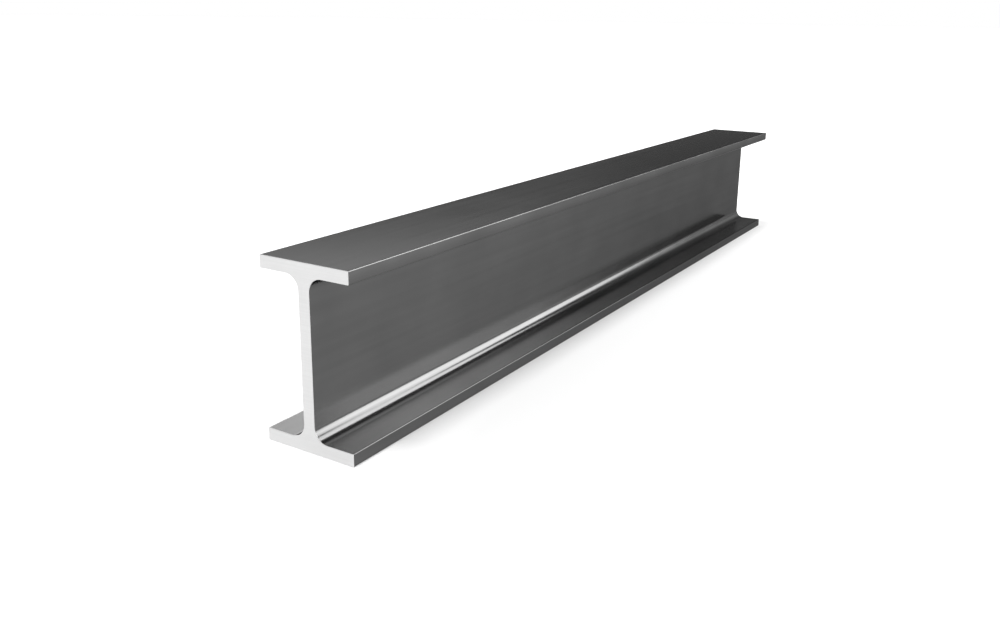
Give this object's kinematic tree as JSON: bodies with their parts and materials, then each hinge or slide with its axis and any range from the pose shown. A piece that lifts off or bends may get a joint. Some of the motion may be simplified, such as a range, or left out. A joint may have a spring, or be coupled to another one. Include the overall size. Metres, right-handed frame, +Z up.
{
  "type": "steel i-beam",
  "caption": "Hot-rolled steel I-beam with parallel flanges, filleted roots and square sawn ends, a straight length of structural stock that carries load, spans a gap or guides a trolley.",
  "frame": {"origin": "the middle of the underside of the lower flange", "axes": "+X along the beam, +Y across the flanges, +Z up through the web"},
  "size_m": [1, 0.086, 0.15],
  "materials": {
    "rolled_steel": "dark grey mill finish as rolled, with faint streaks along the beam, lighter flange arrises, and bright bare steel on the sawn ends"
  },
  "bodies": {
    "root": {"i_beam": "rolled_steel"}
  },
  "joints": []
}
